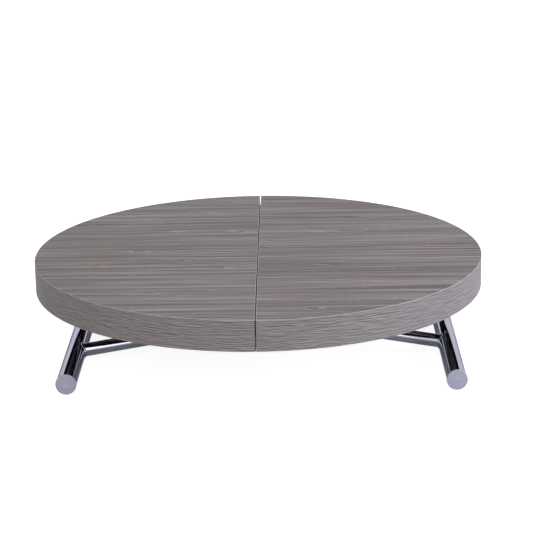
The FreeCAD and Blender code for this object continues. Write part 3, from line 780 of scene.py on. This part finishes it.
@dataclass
class Screw:
    """Pan head of a screw under a batten: a domed disc with a cross recess."""

    radius: float = 0.0042
    height: float = 0.0022
    recess: float = 0.0024
    recess_width: float = 0.0009
    dome_share: float = 0.6
    dome_angle: float = math.radians(60)
    dome_steps: int = 4
    sides: int = 32

    def cut_slot(self, head: Piece, lengths: tuple[float, float, float]) -> None:
        """Cuts one slot of the cross recess into the head's top.

        Args:
            head: The head.
            lengths: The slot's lengths along X, Y and Z.
        """
        bpy.ops.mesh.primitive_cube_add(size=1, location=(0, 0, self.height))
        slot = bpy.context.object
        slot.scale = lengths
        bpy.ops.object.transform_apply(scale=True)
        select_only(head)
        cut = head.modifiers.new("recess", "BOOLEAN")
        cut.operation = "DIFFERENCE"
        cut.object = slot
        cut.solver = "EXACT"
        bpy.ops.object.modifier_apply(modifier=cut.name)
        remove(slot)

    def model(self) -> Piece:
        """Models the head with its top up.

        Returns:
            The head, its underside on the origin.
        """
        bpy.ops.object.select_all(action="DESELECT")
        bpy.ops.mesh.primitive_cylinder_add(vertices=self.sides, radius=self.radius, depth=self.height,
                                            location=(0, 0, self.height / 2))
        head = bpy.context.object
        bpy.ops.object.transform_apply(location=True)
        bevel(head, "dome", self.height * self.dome_share, self.dome_steps, self.dome_angle)
        self.cut_slot(head, (self.recess * 2, self.recess_width, self.height))
        self.cut_slot(head, (self.recess_width, self.recess * 2, self.height))
        return head


@dataclass
class WeldBead:
    """Polished fillet of weld where a round tube meets another across its side.

    The bead follows the saddle curve, so the join looks filled and not just pushed together.
    """

    radius: float
    other_radius: float
    bead: float
    steps_around: int = 72
    steps_across: int = 14

    def model(self) -> Piece:
        """Models the bead as a ring about Z, its points moved up to the other tube along X.

        Returns:
            The bead, with the point where the tubes' axes meet on the origin.
        """
        bpy.ops.object.select_all(action="DESELECT")
        bpy.ops.mesh.primitive_torus_add(major_segments=self.steps_around,
                                         minor_segments=self.steps_across,
                                         major_radius=self.radius, minor_radius=self.bead)
        ring = bpy.context.object
        for vertex in ring.data.vertices:
            angle = math.atan2(vertex.co.y, vertex.co.x)
            off_axis = self.radius * math.sin(angle)
            vertex.co.z += math.sqrt(self.other_radius ** 2 - off_axis ** 2)
        return ring

    def place(self, meeting: Vector, way: Vector, other_axis: Vector) -> Matrix:
        """Works out where a copy of the bead goes.

        Args:
            meeting: The point where the tubes' axes meet.
            way: The direction of the bead's tube, away from the other.
            other_axis: The other tube's direction.

        Returns:
            The matrix from the bead as modelled to its place in the frame.
        """
        side = way.cross(other_axis)
        basis = Matrix((other_axis, side, way)).transposed().to_4x4()
        return Matrix.Translation(meeting) @ basis


@dataclass
class SeamBuffer:
    """Brown rubber buffer on each end of the left half's apron, where the halves close.

    It fills the lower part of the seam, so the seam in the rim reads as one dark line; its
    brown-grey is set to the seam's darkness, as painted shade.
    """

    gap_share: float = 0.8
    height_share: float = 0.7
    depth: float = 0.0165
    rim_inset: float = 0.001
    end_inset: float = 0.0004
    eased: float = 0.0006
    eased_steps: int = 3

    def model(self, thickness: float, height: float) -> Piece:
        """Models the buffer as a strip with eased edges.

        Args:
            thickness: Its size across the seam.
            height: Its height.

        Returns:
            The strip, its middle on the origin.
        """
        bpy.ops.object.select_all(action="DESELECT")
        bpy.ops.mesh.primitive_cube_add(size=1, location=(0, 0, 0))
        strip = bpy.context.object
        strip.scale = (thickness, self.depth, height)
        bpy.ops.object.transform_apply(scale=True)
        bevel(strip, "eased", self.eased, self.eased_steps)
        return strip

    def build(self, material: Material, body: str) -> None:
        """Builds both buffers in the seam, against the left half's edging.

        Args:
            material: The finish.
            body: The moving body that the buffers ride on.
        """
        apron_low, apron_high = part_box("left_apron")
        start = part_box("left_seam_band")[1].x
        thickness = (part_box("right_seam_band")[0].x - start) * self.gap_share
        height = (apron_high.z - apron_low.z) * self.height_share
        strip = self.model(thickness, height)
        for end in End:
            middle = Vector((start + thickness / 2,
                             end.value * (apron_high.y - self.rim_inset - self.depth / 2),
                             apron_low.z + self.end_inset + height / 2))
            finish(copy_of(strip), f"{end.label}_seam_buffer", material, body,
                   Matrix.Translation(middle))
        remove(strip)


@dataclass
class TopHalf:
    """One half of the round top: panel, apron, edging, cleats and slide parts."""

    half: Half
    screw_count: int = 4
    screw_inset: float = 0.011

    def name(self, piece: str) -> str:
        """Names a piece or finish of this half."""
        return f"{self.half.value}_{piece}"

    def build(self) -> None:
        """Dresses this half's CAD nodes and adds its small pieces."""
        self.board()
        dress(BackingBoard(self.name("dark_backing")).build(), self.name("apron"))
        dress(Beech(self.name("planed_beech")).build(), self.name("battens"), self.name("rack_mount"))
        zinc = ZincPlate(self.name("zinc_plate")).build()
        dress(zinc, self.name("slide_moving"), self.name("slide_middle"), self.name("rack"))
        self.screws()
        if self.half is Half.LEFT:
            # Dull brown rubber in the seam, its colour set to the seam's darkness as painted shade, so
            # the seam in the rim stays dark but not black
            rubber = Moulded("brown_rubber", ("5A4F4E", "675B5A"), roughness=0.7, grit_size=0.6)
            SeamBuffer().build(rubber.build(), self.half.body)

    def board(self) -> None:
        """Dresses the panel and its edging, which take the rim's radius and top from the frame."""
        oak = OakMelamine(self.name("oak_melamine"), self.half.sheet_shift)
        dress(oak.build(), self.name("top_panel"))
        low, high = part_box(self.name("edge_band"))
        radius = max(-low.x, high.x)
        rim = WoodgrainEdging(self.name("woodgrain_abs_edging"), radius, high.z)
        dress(rim.build(), self.name("edge_band"))
        seam = SeamEdging(self.name("seam_edging"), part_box(self.name("seam_band"))[1].z)
        dress(seam.build(), self.name("seam_band"))

    def screws(self) -> None:
        """Adds the screws that hold the battens up to the panel."""
        low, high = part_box(self.name("battens"))
        # Zinc-plated steel, brighter than the slides, so each head shows as a small light spot
        metal = Metal(self.name("zinc_screws"), ("B4B6B8", "9A9C9F"), (0.25, 0.36), (1, 1, 1)).build()
        head = Screw().model()
        turn_over = Matrix.Rotation(math.pi, 4, "X")
        for end in End:
            for step in range(self.screw_count):
                share = (step + 0.5) / self.screw_count
                x = low.x + (high.x - low.x) * share
                y = end.value * (high.y - self.screw_inset)
                name = f"{self.name('batten_screw')}_{end.label}_{step}"
                place = Matrix.Translation(Vector((x, y, low.z))) @ turn_over
                finish(copy_of(head), name, metal, self.half.body, place)
        remove(head)


@dataclass
class LegFrames:
    """The two crossed tube frames, their caps, pins, rollers, glides and gas springs."""

    foot_bead: float = 0.0034
    cross_bead: float = 0.0022
    washer_gap: float = 0.0003

    def build(self) -> None:
        """Dresses the leg frames' CAD nodes and adds their welds."""
        # Polished chrome: a faintly blue mirror of the white studio, with a dark core in each tube
        chrome = Metal("polished_chrome", ("B6B8C6", "AEB0BF"), (0.035, 0.06), (3, 3, 3),
                       edge="E2E3EC", relief=0.02).build()
        dress(chrome, "left_foot_tube", "right_foot_tube", "outer_leg_tubes",
              "inner_leg_tubes", "outer_cross_tube", "inner_cross_tube")
        # Silver-painted plastic caps: an even satin grey that mirrors nothing
        satin = Metal("satin_silver_caps", ("AEAFC2", "A6A7BA"), (0.52, 0.58), (2, 2, 2), metallic=0.15)
        dress(satin.build(), "left_foot_caps", "right_foot_caps")
        for which in Frame:
            self.welds(which, chrome)
        # The same zinc plating with its brush marks round the pins, which lie along Y
        zinc = ZincPlate("zinc_plate", mark_cells=(1, 20, 1))
        dress(zinc.build(), "outer_leg_eyes", "inner_leg_eyes", "centre_pivot_pins",
              "upper_pivot_pins", "roller_axle", "gas_rods")
        # Moulded nylon: black with a soft sheen on its edges. On the seam strips the same black is
        # painted shade, standing in for the dark inside of the seam
        nylon_and_seam_shade = Moulded("black_nylon", ("141415", "1D1D1E"), roughness=0.45, grit_size=0.8)
        dress(nylon_and_seam_shade.build(), "centre_pivot_washers", "rollers", "left_floor_glides",
              "right_floor_glides", "pinion_gear", "seam_strips")

    def welds(self, which: Frame, material: Material) -> None:
        """Adds the weld beads of one frame, placed from its tubes' own boxes.

        Args:
            which: The frame.
            material: The beads' finish.
        """
        foot_low, foot_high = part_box(which.foot)
        tube_low, tube_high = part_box(f"{which.value}_cross_tube")
        foot = (foot_low + foot_high) / 2
        tube = (tube_low + tube_high) / 2
        along = Vector((0.0, 1.0, 0.0))
        leg_way = Vector((tube.x - foot.x, 0.0, tube.z - foot.z)).normalized()
        leg_radius = self.leg_radius()
        leg_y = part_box(f"{which.value}_leg_tubes")[1].y - leg_radius
        at_foot = WeldBead(leg_radius, (foot_high.z - foot_low.z) / 2, self.foot_bead)
        at_cross = WeldBead((tube_high.z - tube_low.z) / 2, leg_radius, self.cross_bead)
        foot_ring = at_foot.model()
        cross_ring = at_cross.model()
        for end in End:
            name = f"{which.value}_{end.label}"
            y = end.value * leg_y
            place = at_foot.place(Vector((foot.x, y, foot.z)), leg_way, along)
            finish(copy_of(foot_ring), f"{name}_foot_weld", material, which.body, place)
            place = at_cross.place(Vector((tube.x, y, tube.z)), along * -end.value, leg_way)
            finish(copy_of(cross_ring), f"{name}_cross_weld", material, which.body, place)
        remove(foot_ring)
        remove(cross_ring)

    def leg_radius(self) -> float:
        """Works out the leg tubes' radius from the washer that lies against the outer leg.

        Returns:
            The radius in metres.
        """
        outer_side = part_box("outer_leg_tubes")[1].y
        washer_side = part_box("centre_pivot_washers")[1].y
        return (outer_side - washer_side - self.washer_gap) / 2


@dataclass
class Platform:
    """The steel frame under the top, with the folded leaf that it carries."""

    leaf_sheet_shift: float = 41.0

    def build(self) -> None:
        """Dresses the platform's CAD nodes."""
        # Powder coat on steel: black, with an even low gloss
        coat = Moulded("black_powder_coat", ("101011", "19191A"), roughness=0.5, grit_size=0.5)
        dress(coat.build(), "side_rails", "end_rails", "corner_rails", "rail_ties",
              "roller_channels", "pivot_forks", "leaf_supports", "pinion_bracket", "gas_cylinders")
        dress(ZincPlate("zinc_plated_steel").build(), "slide_fixed", "leaf_hinges", "pinion_post")
        oak = OakMelamine("leaf_oak_melamine", self.leaf_sheet_shift)
        dress(oak.build(), "leaf_lower_panel", "leaf_upper_panel")
        # Steamed beech dowels, made darker and greyer than steamed beech as painted shade in the seam
        dowels = Beech("steamed_beech", ("5E5249", "7A6C60"))
        dress(dowels.build(), "alignment_dowels")


@dataclass(frozen=True)
class Lamp:
    """A soft square studio lamp: its place and side in metres, power in watts and sRGB tint."""

    name: str
    place: tuple[float, float, float]
    side: float
    power: float
    tint: str = "FFFFFF"

    def build(self, aim: Vector) -> None:
        """Adds the lamp, turned to face a point.

        Args:
            aim: The point.
        """
        data = bpy.data.lights.new(self.name, "AREA")
        data.size = self.side
        data.energy = self.power
        data.color = linear_colour(self.tint)[:3]
        lamp = bpy.data.objects.new(self.name, data)
        lamp.location = self.place
        lamp.rotation_euler = (aim - Vector(self.place)).to_track_quat("-Z", "Y").to_euler()
        bpy.context.scene.collection.objects.link(lamp)


@dataclass
class Studio:
    """Plain white studio: floor, world, lamps and the camera at the photograph's angle.

    The camera's lens is in millimetres, its turns in degrees and its place in metres.
    """

    lens: float = 124.753
    pitch: float = 16.6586
    yaw: float = -0.5947
    roll: float = -0.9197
    distance: float = 5.1229
    aside: float = 0.0313
    above: float = 0.1778
    view_end: float = 100.0
    floor_size: float = 30.0
    floor_colour: str = "F4F4F4"
    floor_roughness: float = 0.9
    floor_glow_share: float = 0.88
    floor_shine_share: float = 0.11
    sky_shine_share: float = 1.0
    sky_light: float = 0.24
    aim_height: float = 0.2
    lamps: tuple[Lamp, ...] = (Lamp("key_right", (3.4, -1.1, 1.2), 2.0, 70.0, "EAEEFF"),
                               Lamp("overhead", (0.5, -0.5, 3.2), 2.6, 35.0),
                               Lamp("front", (-0.7, -4.4, 2.2), 4.0, 58.0))

    def camera(self) -> None:
        """Places the camera, worked out from the photo's outlines."""
        yaw = math.radians(self.yaw)
        pitch = math.radians(self.pitch)
        ahead = Vector((math.sin(yaw) * math.cos(pitch), math.cos(yaw) * math.cos(pitch),
                        -math.sin(pitch)))
        right = Vector((math.cos(yaw), -math.sin(yaw), 0.0))
        up = right.cross(ahead)
        place = right * self.aside + up * self.above - ahead * self.distance
        turn = math.radians(self.roll)
        rolled_right = right * math.cos(turn) + up * math.sin(turn)
        rolled_up = up * math.cos(turn) - right * math.sin(turn)
        data = bpy.data.cameras.new("camera")
        data.lens = self.lens
        data.clip_end = self.view_end
        camera = bpy.data.objects.new("camera", data)
        bpy.context.scene.collection.objects.link(camera)
        basis = Matrix((rolled_right, rolled_up, -ahead)).transposed().to_4x4()
        camera.matrix_world = Matrix.Translation(place) @ basis
        bpy.context.scene.camera = camera
        LOG.info("camera at %s", tuple(round(value, 3) for value in place))

    def seen(self, tree: Tree, shine_share: float) -> Socket:
        """Tells how much a ray shows the white background.

        Args:
            tree: The node tree that gets the nodes.
            shine_share: The share for glossy and transmission rays.

        Returns:
            A socket that is 1 for camera rays and the share for glossy and transmission rays.
        """
        path = add_node(tree, "ShaderNodeLightPath").outputs
        shine = add_node(tree, "ShaderNodeMath", (path["Is Glossy Ray"], path["Is Transmission Ray"]),
                         operation="MAXIMUM").outputs[0]
        shine = add_node(tree, "ShaderNodeMath", (shine, shine_share), operation="MULTIPLY").outputs[0]
        return add_node(tree, "ShaderNodeMath", (path["Is Camera Ray"], shine),
                        operation="MAXIMUM").outputs[0]

    def floor(self) -> None:
        """Lays a white floor that keeps the table's soft shadow."""
        bpy.ops.mesh.primitive_plane_add(size=self.floor_size, location=(0.0, 0.0, 0.0))
        floor = bpy.context.object
        floor.name = "floor"
        material, tree, shader, _ = new_material("white_floor")
        set_inputs(tree, shader, {"Base Color": linear_colour(self.floor_colour),
                                  "Roughness": self.floor_roughness, "Specular IOR Level": 0.0})
        seen = self.seen(tree, self.floor_shine_share)
        strength = add_node(tree, "ShaderNodeMath", (seen, self.floor_glow_share),
                            operation="MULTIPLY").outputs[0]
        glow = add_node(tree, "ShaderNodeEmission", {"Color": (1, 1, 1, 1), "Strength": strength})
        both = add_node(tree, "ShaderNodeAddShader", (shader.outputs[0], glow.outputs[0]))
        tree.links.new(both.outputs[0], tree.nodes["Material Output"].inputs["Surface"])
        floor.data.materials.append(material)

    def world(self) -> None:
        """Makes the background white to the eye and a plain soft light on the object."""
        world = bpy.data.worlds.new("white_studio")
        bpy.context.scene.world = world
        world.use_nodes = True
        tree = world.node_tree
        seen = self.seen(tree, self.sky_shine_share)
        strength = add_node(tree, "ShaderNodeMapRange", (seen, 0.0, 1.0, self.sky_light, 1.0)).outputs[0]
        set_inputs(tree, tree.nodes["Background"], {"Color": (1, 1, 1, 1), "Strength": strength})

    def build(self) -> None:
        """Builds the whole studio."""
        self.camera()
        self.floor()
        self.world()
        for lamp in self.lamps:
            lamp.build(Vector((0, 0, self.aim_height)))
        bpy.context.scene.view_settings.view_transform = "Standard"


def main() -> None:
    """Builds the table's looks and the studio."""
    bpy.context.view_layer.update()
    Studio().build()
    for half in Half:
        TopHalf(half).build()
    Platform().build()
    LegFrames().build()


if __name__ == "__main__":
    main()
